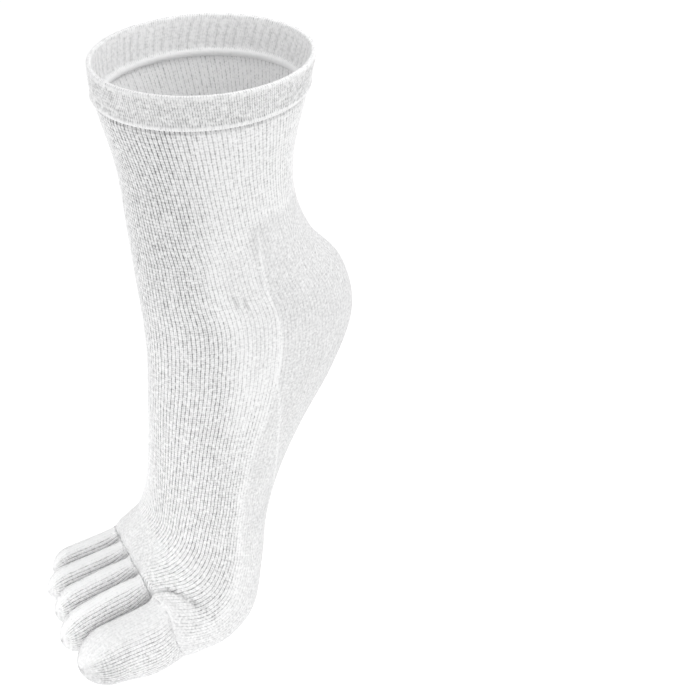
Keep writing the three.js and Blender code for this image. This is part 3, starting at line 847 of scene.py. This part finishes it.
def knit_material(name, groove_painted_shade_colour, yarn_colour, speckle_shade, roughness):
    material = bpy.data.materials.new(name)
    material.use_nodes = True
    tree = material.node_tree
    shader = tree.nodes["Principled BSDF"]
    shader.inputs["Roughness"].default_value = roughness
    shader.inputs["Specular IOR Level"].default_value = SPECULAR
    shader.inputs["Sheen Weight"].default_value = SHEEN
    shader.inputs["Sheen Roughness"].default_value = SHEEN_ROUGHNESS

    uv = tree.nodes.new("ShaderNodeUVMap")
    uv.uv_map = "knit"
    split = tree.nodes.new("ShaderNodeSeparateXYZ")
    tree.links.new(uv.outputs[0], split.inputs[0])
    wale, course = split.outputs[0], split.outputs[1]
    place = tree.nodes.new("ShaderNodeTexCoord").outputs["Object"]

    def calculate(operation, *values):
        node = tree.nodes.new("ShaderNodeMath")
        node.operation = operation
        for socket, value in zip(node.inputs, values):
            if isinstance(value, (int, float)):
                socket.default_value = value
            else:
                tree.links.new(value, socket)
        return node.outputs[0]

    def add(first, second):
        return calculate("ADD", first, second)

    def less(first, second):
        return calculate("SUBTRACT", first, second)

    def times(first, second):
        return calculate("MULTIPLY", first, second)

    def waves(value):
        return calculate("ABSOLUTE", calculate("SINE", value))

    def noise(scale, detail):
        """Noise to both sides of 0"""
        node = tree.nodes.new("ShaderNodeTexNoise")
        node.inputs["Scale"].default_value = scale
        node.inputs["Detail"].default_value = detail
        tree.links.new(place, node.inputs["Vector"])
        return less(node.outputs["Fac"], 0.5)

    def attribute(label):
        node = tree.nodes.new("ShaderNodeAttribute")
        node.attribute_name = label
        return node.outputs["Fac"]

    # the yarn wanders a little, so no two stitches are quite alike
    wander = noise(*WANDER)
    wale = add(wale, times(wander, WANDER_ACROSS))
    turn = times(wale, math.pi)
    ridge = waves(turn)
    legs = waves(times(turn, 2))
    # each stitch leans up and out on both sides of its wale
    beat = add(add(course, times(ridge, STITCH_LEAN)), times(wander, WANDER_ALONG))
    stitch = waves(times(beat, math.pi))
    # height from 0 in the groove to 1 on top of a stitch
    height = add(times(ridge, RIDGE_SHARE), times(legs, LEGS_SHARE))
    height = add(height, times(stitch, STITCH_SHARE))
    # less of it where the knit is plain, and never even
    speckle = noise(*SPECKLE)
    uneven = calculate("MULTIPLY_ADD", noise(*UNEVEN), UNEVENNESS, 1.0)
    depth = times(times(less(1, height), attribute("rib")), uneven)
    # painted shade: the grooves and the attribute mix in the groove colour, and where the attribute is below
    # 0 it paints light; speckle and patches vary the yarn's own tone
    shade = less(TOP_SHADE, times(depth, GROOVE_SHADE))
    shade = add(shade, times(speckle, speckle_shade))
    shade = add(shade, times(noise(*PATCH), PATCH_SHADE))
    shade = less(shade, times(attribute("painted_shade"), PAINTED_SHADE_DEPTH))
    colour = tree.nodes.new("ShaderNodeMix")
    colour.data_type = "RGBA"
    colour.inputs["A"].default_value = (*groove_painted_shade_colour, 1)
    colour.inputs["B"].default_value = (*yarn_colour, 1)
    tree.links.new(shade, colour.inputs["Factor"])
    tree.links.new(colour.outputs["Result"], shader.inputs["Base Color"])

    bump = tree.nodes.new("ShaderNodeBump")
    bump.inputs["Strength"].default_value = BUMP_STRENGTH
    bump.inputs["Distance"].default_value = BUMP_DISTANCE
    tree.links.new(less(times(speckle, SPECKLE_HEIGHT), depth), bump.inputs["Height"])
    tree.links.new(bump.outputs["Normal"], shader.inputs["Normal"])
    return material


rib_knit = knit_material("rib_knit", GROOVE_PAINTED_SHADE_COLOUR, YARN_COLOUR, speckle_shade=0.8, roughness=0.9)
plain_knit = knit_material("plain_knit", GROOVE_PAINTED_SHADE_COLOUR, YARN_COLOUR, speckle_shade=0.9, roughness=0.85)
toe_knit = knit_material("toe_knit", TOE_GROOVE_PAINTED_SHADE_COLOUR, TOE_YARN_COLOUR, speckle_shade=0.8, roughness=0.85)

# Leg, heel and foot: one tube of knit
shares = np.arange(WALES * PER_WALE) / (WALES * PER_WALE)
tube_places = np.concatenate([
    places_between(FIRST_ROW, CUFF_ROWS_TO, CUFF_ROW_STEP)[:-1],
    places_between(CUFF_ROWS_TO, LEG_END, ROW_STEP)[:-1],
    places_between(LEG_END, HEEL_END, ROW_STEP)[:-1],
    places_between(HEEL_END, SEAM_ROWS_FROM, ROW_STEP)[:-1],
    places_between(SEAM_ROWS_FROM, FOREFOOT_END, SEAM_ROW_STEP),
])
leg_row = int(np.argmin(np.abs(tube_places - LEG_END)))
heel_row = int(np.argmin(np.abs(tube_places - HEEL_END)))
tube = opened(loft(section_at(tube_places), shares), tube_places)
row_lengths = np.linalg.norm(np.diff(tube.mean(axis=1), axis=0), axis=1)
tube_courses = np.concatenate([[0], np.cumsum(row_lengths)]) / COURSE

# the front of the forefoot turns in and closes behind the toes
last = tube[-1]
end_along = field_along[end_index]
centre_line = np.zeros_like(last)
centre_line[:, 0] = last[:, 0] * FRONT_WIDTH
centre_line[:, 1:] = field_middle[end_index]
end_slant = field_rows[end_index, SLANT] * centre_line[:, :1] / field_widest[end_index]
centre_line[:, 1:] += end_along * end_slant
front_rows = [last + (centre_line - last) * share for share in FRONT_SHARES]
tube = np.concatenate([tube, np.array(front_rows)])
front_count = np.arange(1, len(front_rows) + 1)
tube_places = np.concatenate([tube_places, FOREFOOT_END + FRONT_PLACE_STEP * front_count])
tube_courses = np.concatenate([tube_courses, tube_courses[-1] + front_count])

# it settles into one surface with the toes
forefoot = int(np.argmax(tube_places > SETTLED_FROM))
tube_depth = np.full(tube.shape[:2], FAR_BEHIND)
tube[forefoot:] = settle(tube[forefoot:], foot_field, toes_field, BLEND)
tube_depth[forefoot:] = toe_territory(tube[forefoot:], toes_field(tube[forefoot:]))
tube_normal = normals(tube)
smooth_tube = tube.copy()

place_grid, share_grid = np.meshgrid(tube_places, shares, indexing="ij")
from_front = np.minimum(share_grid, 1 - share_grid)
sideways = tube[..., 0]
tube_rib = rib_weight(place_grid, share_grid)
plain_painted_shade = PLAIN_PAINTED_SHADE * smooth_step(*PLAIN_PAINTED_SHADE_RANGE, 1 - tube_rib)
tube_bend = knit_shift(place_grid, share_grid)
on_leg = 1 - smooth_step(*LEG_RIDGE_FADE, place_grid)
ridge_depth = RIDGE + RIDGE_ON_RIBS * tube_rib + RIDGE_ON_LEG * on_leg
ridge_depth *= 1 - FRONT_LESS * smooth_step(*FRONT_PLACES, place_grid)
# behind the forks of the toes the knit is stretched smooth
past_end = np.full(tube.shape[:2], FAR_BEHIND)
past_end[forefoot:] = ahead(tube[forefoot:], np.full(tube[forefoot:].shape[:2], end_index))
reach = CALM_REACH * smooth_step(0, 1, -sideways / CALM_WIDTH)
calm = (1 - smooth_step(*CALM_SHARES, from_front)) * smooth_step(*CALM_RANGE, past_end + reach)
calm *= 1 - smooth_step(*CALM_SIDE, sideways)
tube_rib *= 1 - CALM_RIB * calm
by_big_toe = smooth_step(*BIG_TOE_SIDE, sideways) * smooth_step(*NEAR_SEAM, tube_depth)
tube_rib *= 1 - NEAR_SEAM_RIB * by_big_toe
relief = ridge_depth * (1 - CALM_RIDGE * calm) * (wale_ridge(share_grid * WALES + tube_bend) + RIDGE_LEVEL)
# a raised line runs down each side between the ribbed front and the plain back, with a painted highlight
line_share = np.interp(place_grid, *zip(*SIDE_LINE_TABLE))
side_line = bell(from_front - line_share, SIDE_LINE_WIDTH) * smooth_step(*SIDE_LINE_START, place_grid)
side_line *= 1 - smooth_step(*SIDE_LINE_END, place_grid)
relief += SIDE_LINE_HEIGHT * side_line
# the cuff's edge presses into the leg
under_cuff = bell(place_grid - CUFF_GROOVE_PLACE, CUFF_GROOVE_WIDTH)
relief -= CUFF_GROOVE_DEPTH * under_cuff
wrinkle = np.zeros(tube.shape[:2])
for share_start, share_end, place_start, place_end in WRINKLES:
    way = (place_grid - place_start) / (place_end - place_start)
    line = share_start + (share_end - share_start) * way
    wrinkle += bell(share_grid - line, WRINKLE_WIDTH) * np.exp(-((way - 0.5) / WRINKLE_LENGTH) ** 4)
relief -= WRINKLE_DEPTH * wrinkle
# a fold runs round the base of the big toe, with raised bands of cloth beside it
fold_gap, fold_side, fold_share = from_path(tube[forefoot:], FOLD)
fold_weight = smooth_step(*FOLD_START, fold_share) * (1 - smooth_step(*FOLD_END, fold_share))
fold_groove = np.zeros(tube.shape[:2])
fold_groove[forefoot:] = bell(fold_gap, FOLD_WIDTH) * fold_weight
relief -= FOLD_DEPTH * fold_groove
for height, distance, width in (BEHIND_FOLD, BEFORE_FOLD):
    relief[forefoot:] += height * bell(fold_gap * fold_side - distance, width) * fold_weight
relief *= 1 - smooth_step(*RELIEF_END, tube_depth)
tube = tuck(tube + tube_normal * relief[..., None], tube_normal, tube_depth)
tube_normal = normals(tube)
# painted shade on plain knit, on the smooth band behind the forks, by the big toe's root, in the fold, in the
# wrinkles and under the cuff; a painted highlight on the side line
tube_painted_shade = (
    plain_painted_shade * (1 - calm) + CALM_SHADE * calm + NEAR_SEAM_SHADE * by_big_toe + FOLD_SHADE * fold_groove
    + WRINKLE_SHADE * wrinkle + CUFF_GROOVE_SHADE * under_cuff - SIDE_LINE_PAINTED_HIGHLIGHT * side_line)


def panels(row_count, column_count, leg_end, heel_end):
    """The faces of the leg, of the heel and of the foot"""
    row = np.arange(row_count)[:, None]
    column = np.arange(column_count)
    in_heel = (column >= HEEL_FROM * column_count) & (column < HEEL_TO * column_count)
    leg = (row < leg_end) & np.ones(column_count, bool)
    heel = (row >= leg_end) & (row < heel_end) & in_heel
    return leg, heel, ~leg & ~heel


wales = np.arange(len(shares) + 1) / PER_WALE
leg_keep, heel_keep, foot_keep = panels(len(tube_places) - 1, len(shares), leg_row, heel_row)
foot_keep &= kept(tube_depth)

# the inside of the same tube, with half the columns and rows
inner = (smooth_tube - normals(smooth_tube) * WALL)[::2, ::2]
inner_places = tube_places[::2]
inner_place_grid, inner_share_grid = np.meshgrid(inner_places, shares[::2], indexing="ij")
inner_normal = normals(inner)
inner_bend = INNER_LEAN * np.interp(inner_place_grid, *zip(*LEAN_TABLE))
inner_relief = INNER_RIDGE * wale_ridge((inner_share_grid * WALES + inner_bend) / 2 + INNER_TURN)
inner = inner - inner_normal * inner_relief[..., None]
inner_normal = normals(inner)
inner_leg_keep, inner_heel_keep, inner_foot_keep = panels(
    len(inner_places) - 1, len(shares) // 2, leg_row // 2, heel_row // 2)
inner_foot_keep &= (inner_places[:-1] < INNER_END)[:, None]


def tube_sheets(keep, inner_keep):
    outside = Sheet(tube, tube_normal, wales, tube_courses, tube_rib, tube_painted_shade, keep=keep, bend=tube_bend)
    # the inside has painted light
    inside = Sheet(
        inner, inner_normal, wales[::2], tube_courses[::2], np.full(inner.shape[:2], INNER_RIB),
        np.full(inner.shape[:2], -INNER_PAINTED_LIGHT), facing=-1, keep=inner_keep, bend=inner_bend)
    return [outside, inside]


make_piece("leg_knit", "leg", rib_knit, tube_sheets(leg_keep, inner_leg_keep))
make_piece("heel_knit", "heel", plain_knit, tube_sheets(heel_keep, inner_heel_keep))
make_piece("foot_knit", "foot", rib_knit, tube_sheets(foot_keep, inner_foot_keep))

# Cuff: an outer band, a fold over the rim, and an inner band that ends in a rolled ledge
profile = np.array(CUFF_PROFILE)
profile_out = profile[:, 0] * CUFF_PROUD - profile[:, 1] * CUFF_WALL - profile[:, 2] * CUFF_LEDGE
profile_up = profile[:, 3]
profile_steps = np.hypot(np.diff(profile_out), np.diff(profile_up) * CUFF_HEIGHT)
profile_length = np.concatenate([[0], np.cumsum(profile_steps)])
cuff_steps = []
for start, end in zip(profile_length[:-1], profile_length[1:]):
    count = max(1, round((end - start) / PROFILE_STEP))
    cuff_steps.extend(np.linspace(start, end, count + 1)[:-1])
cuff_steps.append(profile_length[-1])
cuff_steps = np.array(cuff_steps)
cuff_out = np.interp(cuff_steps, profile_length, profile_out)
cuff_up = np.interp(cuff_steps, profile_length, profile_up)
cuff = opened(loft(grown(section_at(1 - cuff_up), cuff_out), shares), 1 - cuff_up)
cuff_normal = -normals(cuff)
on_lip = (cuff_steps < profile_length[LIP_END])[:, None]
outer_band = (cuff_steps < profile_length[FOLD_OVER_START])[:, None]
on_ledge = (cuff_steps > profile_length[LEDGE_START])[:, None]
past_fold = cuff_steps - profile_length[FOLD_OVER_END]
inner_band = ((past_fold > 0) & (cuff_steps < profile_length[LEDGE_START]))[:, None]
# the stitches of the outer band are half as wide
cuff_bend = CUFF_LEAN * np.clip(cuff_up, 0, 1)[:, None] * np.ones(cuff.shape[:2])
cuff_u = (shares * WALES)[None, :] + cuff_bend
near_rim = smooth_step(*CUFF_RIDGE_FADE, cuff_up)[:, None]
outer_relief = CUFF_RIDGE * (1 - near_rim) * (wale_ridge(2 * cuff_u) + CUFF_RIDGE_LEVEL)
below_rim = smooth_step(*BAND_RIDGE_START, past_fold)[:, None]
band_relief = BAND_RIDGE * below_rim * (wale_ridge(cuff_u / 2) + BAND_RIDGE_LEVEL)
cuff_relief = np.where(outer_band, outer_relief, np.where(inner_band, band_relief, 0))
cuff = cuff + cuff_normal * cuff_relief[..., None]
cuff_normal = -normals(cuff)
cuff_rib = np.where(inner_band, BAND_RIB, np.where(on_ledge, LEDGE_RIB, FOLD_OVER_RIB))
cuff_rib = np.where(outer_band, CUFF_RIB - CUFF_RIB_FADE * near_rim, cuff_rib)
cuff_rib = np.where(on_lip, LIP_RIB, cuff_rib) * np.ones(cuff.shape[:2])
# painted shade on the inner band, deeper in its grooves
band_painted_shade = BAND_SHADE - BAND_GROOVE_SHADE * below_rim * wale_ridge(cuff_u / 2)
cuff_painted_shade = np.where(inner_band, band_painted_shade, 0)
make_piece("cuff_knit", "cuff", rib_knit, [
    Sheet(cuff, -cuff_normal, 2 * wales, cuff_steps / COURSE, cuff_rib, cuff_painted_shade, facing=-1,
          bend=2 * cuff_bend)])


def ellipse_length(a, b):
    return math.pi * (3 * (a + b) - np.sqrt((3 * a + b) * (a + 3 * b)))


# Toes: each a closed finger of knit
for toe in toes:
    half_width, half_height, _, _ = toe.shape(np.array([toe.length * GIRTH_AT]))
    around = ellipse_length(half_width, half_height)
    toe_wales = int(round(float(around[0]) / TOE_WALE))
    toe_shares = np.arange(toe_wales * PER_WALE) / (toe_wales * PER_WALE)
    straight = toe.length - toe.tip
    start = -TOE_START * TOE_BURIED * TOE_LENGTH
    root_rows = round((ROOT_ROWS_TO - start) / ROOT_ROW_STEP)
    straight_rows = round((straight - ROOT_ROWS_TO) / TOE_ROW_STEP)
    tip_angles = np.linspace(0, math.pi / 2, TIP_ROWS)[1:]
    distances = np.concatenate([
        np.linspace(start, ROOT_ROWS_TO, root_rows + 1)[:-1],
        np.linspace(ROOT_ROWS_TO, straight, straight_rows + 1),
        straight + toe.tip * np.sin(tip_angles),
    ])
    distances[-1] = toe.length - TIP_GAP
    toe_grid = toe.grid(distances, toe_shares)
    toe_grid = settle(toe_grid, toe.field, foot_field, BLEND)
    toe_depth = -toe_territory(toe_grid, toe.field(toe_grid))
    toe_normal = normals(toe_grid)
    smooth_toe = toe_grid.copy()
    into_tip = smooth_step(toe.length - TIP_SHARE * toe.tip, toe.length, distances)[:, None]
    # at the root the wales of the sides turn up towards the instep
    root_turn = np.clip((ROOT_TURN_FROM - distances) / ROOT_TURN_LENGTH, 0, ROOT_TURN_MOST) ** 2
    bend = ROOT_TURN * root_turn[:, None] * np.sin(2 * math.pi * toe_shares)[None, :]
    toe_u = (toe_shares * toe_wales)[None, :] + bend
    # the tops are stretched smooth, most of all on the big toe; the big toe's top and tip get painted shade,
    # and the other toes painted light
    off_top = np.minimum(toe_shares, 1 - toe_shares)[None, :]
    near_tip = smooth_step(straight - TIP_SHADE_FROM, toe.length - TIP_SHADE_TO, distances)[:, None]
    if toe.name == "big":
        toe_calm = BIG_CALM * (1 - smooth_step(*BIG_CALM_SHARES, off_top))
        toe_painted_shade = np.maximum(BIG_SHADE * toe_calm, TIP_SHADE * near_tip)
    else:
        toe_calm = TOE_CALM * (1 - smooth_step(*TOE_CALM_SHARES, off_top))
        toe_painted_shade = -TOE_PAINTED_LIGHT[toe.name] * (1 - near_tip)
    toe_ridge = TOE_RIDGE * (1 - TIP_RIDGE_LESS * into_tip) * (1 - toe_calm)
    toe_ridge = toe_ridge * (wale_ridge(toe_u) + TOE_RIDGE_LEVEL)
    toe_ridge *= 1 - smooth_step(*TOE_RELIEF_END, toe_depth)
    toe_grid = tuck(toe_grid + toe_normal * toe_ridge[..., None], toe_normal, toe_depth)
    toe_normal = normals(toe_grid)
    toe_rib = (1 - TIP_RIB_LESS * into_tip) * (1 - toe_calm)
    toe_rib = toe_rib * (1 - NEAR_SEAM_RIB * smooth_step(*NEAR_SEAM, toe_depth))
    # near the root a toe takes the same painted shade as the forefoot behind it
    toe_painted_shade = toe_painted_shade + (ROOT_SHADE - toe_painted_shade) * smooth_step(*ROOT_SHADE_RANGE, toe_depth)
    toe_course = (distances - distances[0]) / COURSE
    outside = Sheet(
        toe_grid, toe_normal, np.arange(len(toe_shares) + 1) / PER_WALE, toe_course, toe_rib, toe_painted_shade,
        keep=kept(toe_depth), bend=bend)
    inside_rows = np.flatnonzero(distances > TOE_INSIDE_FROM)[::2]
    inside_grid = (smooth_toe - normals(smooth_toe) * WALL)[inside_rows][:, ::TOE_INSIDE_COLUMNS]
    inside_shape = inside_grid.shape[:2]
    inside = Sheet(
        inside_grid, normals(inside_grid), np.arange(inside_shape[1] + 1) / PER_WALE * TOE_INSIDE_COLUMNS,
        toe_course[inside_rows], np.full(inside_shape, TOE_INSIDE_RIB), np.zeros(inside_shape), facing=-1)
    make_piece(f"toe_{toe.name}_knit", f"toe_{toe.name}", toe_knit, [outside, inside])

# Floor, well below the sock, which is held up by its opening
floor_mesh = bpy.data.meshes.new("floor")
floor_mesh.from_pydata(
    [(x * FLOOR_REACH, y * FLOOR_REACH, FLOOR_HEIGHT) for x, y in ((-1, -1), (1, -1), (1, 1), (-1, 1))],
    [], [(0, 1, 2, 3)])
floor = bpy.data.objects.new("floor", floor_mesh)
bpy.context.scene.collection.objects.link(floor)
floor_material = bpy.data.materials.new("floor")
floor_material.use_nodes = True
floor_shader = floor_material.node_tree.nodes["Principled BSDF"]
floor_shader.inputs["Base Color"].default_value = FLOOR_COLOUR
floor_shader.inputs["Roughness"].default_value = 1.0
floor_shader.inputs["Specular IOR Level"].default_value = 0.0
floor_shader.inputs["Emission Color"].default_value = WHITE
floor_shader.inputs["Emission Strength"].default_value = FLOOR_GLOW
floor.data.materials.append(floor_material)

# Light: a white room, soft lamps over the opening and at the sides, and two small ones at the toes
world = bpy.data.worlds.new("room")
world.use_nodes = True
background = world.node_tree.nodes["Background"]
background.inputs["Color"].default_value = WHITE
background.inputs["Strength"].default_value = ROOM_LIGHT
bpy.context.scene.world = world

for lamp_name, lamp_place, aim, size, power, spread in LAMPS:
    lamp = bpy.data.lights.new(lamp_name, "AREA")
    lamp.shape = "SQUARE"
    lamp.size = size
    lamp.energy = power
    lamp.spread = math.radians(spread)
    light = bpy.data.objects.new(lamp_name, lamp)
    bpy.context.scene.collection.objects.link(light)
    light.location = lamp_place
    light.rotation_euler = (Vector(aim) - Vector(lamp_place)).to_track_quat("-Z", "Y").to_euler()

# Camera
back = Vector((
    math.sin(AZIMUTH) * math.cos(ELEVATION),
    -math.cos(AZIMUTH) * math.cos(ELEVATION),
    math.sin(ELEVATION),
))
forward = -back
right = forward.cross(Vector((0, 0, 1))).normalized()
up = right.cross(forward)
turn = math.atan((TARGET_PIXEL[0] - IMAGE_SIZE / 2) / FOCAL_PIXELS)
tilt = math.atan((TARGET_PIXEL[1] - IMAGE_SIZE / 2) / FOCAL_PIXELS)
forward, right = (
    forward * math.cos(turn) - right * math.sin(turn),
    right * math.cos(turn) + forward * math.sin(turn))
forward, up = (
    forward * math.cos(tilt) + up * math.sin(tilt),
    up * math.cos(tilt) - forward * math.sin(tilt))
camera_data = bpy.data.cameras.new("camera")
camera_data.sensor_width = SENSOR
camera_data.lens = SENSOR * FOCAL_PIXELS / IMAGE_SIZE
camera = bpy.data.objects.new("camera", camera_data)
bpy.context.scene.collection.objects.link(camera)
camera.matrix_world = Matrix.Translation(TARGET + back * CAMERA_DISTANCE) @ Matrix(
    (right, up, -forward)).transposed().to_4x4()
bpy.context.scene.camera = camera
bpy.context.scene.view_settings.view_transform = "Standard"
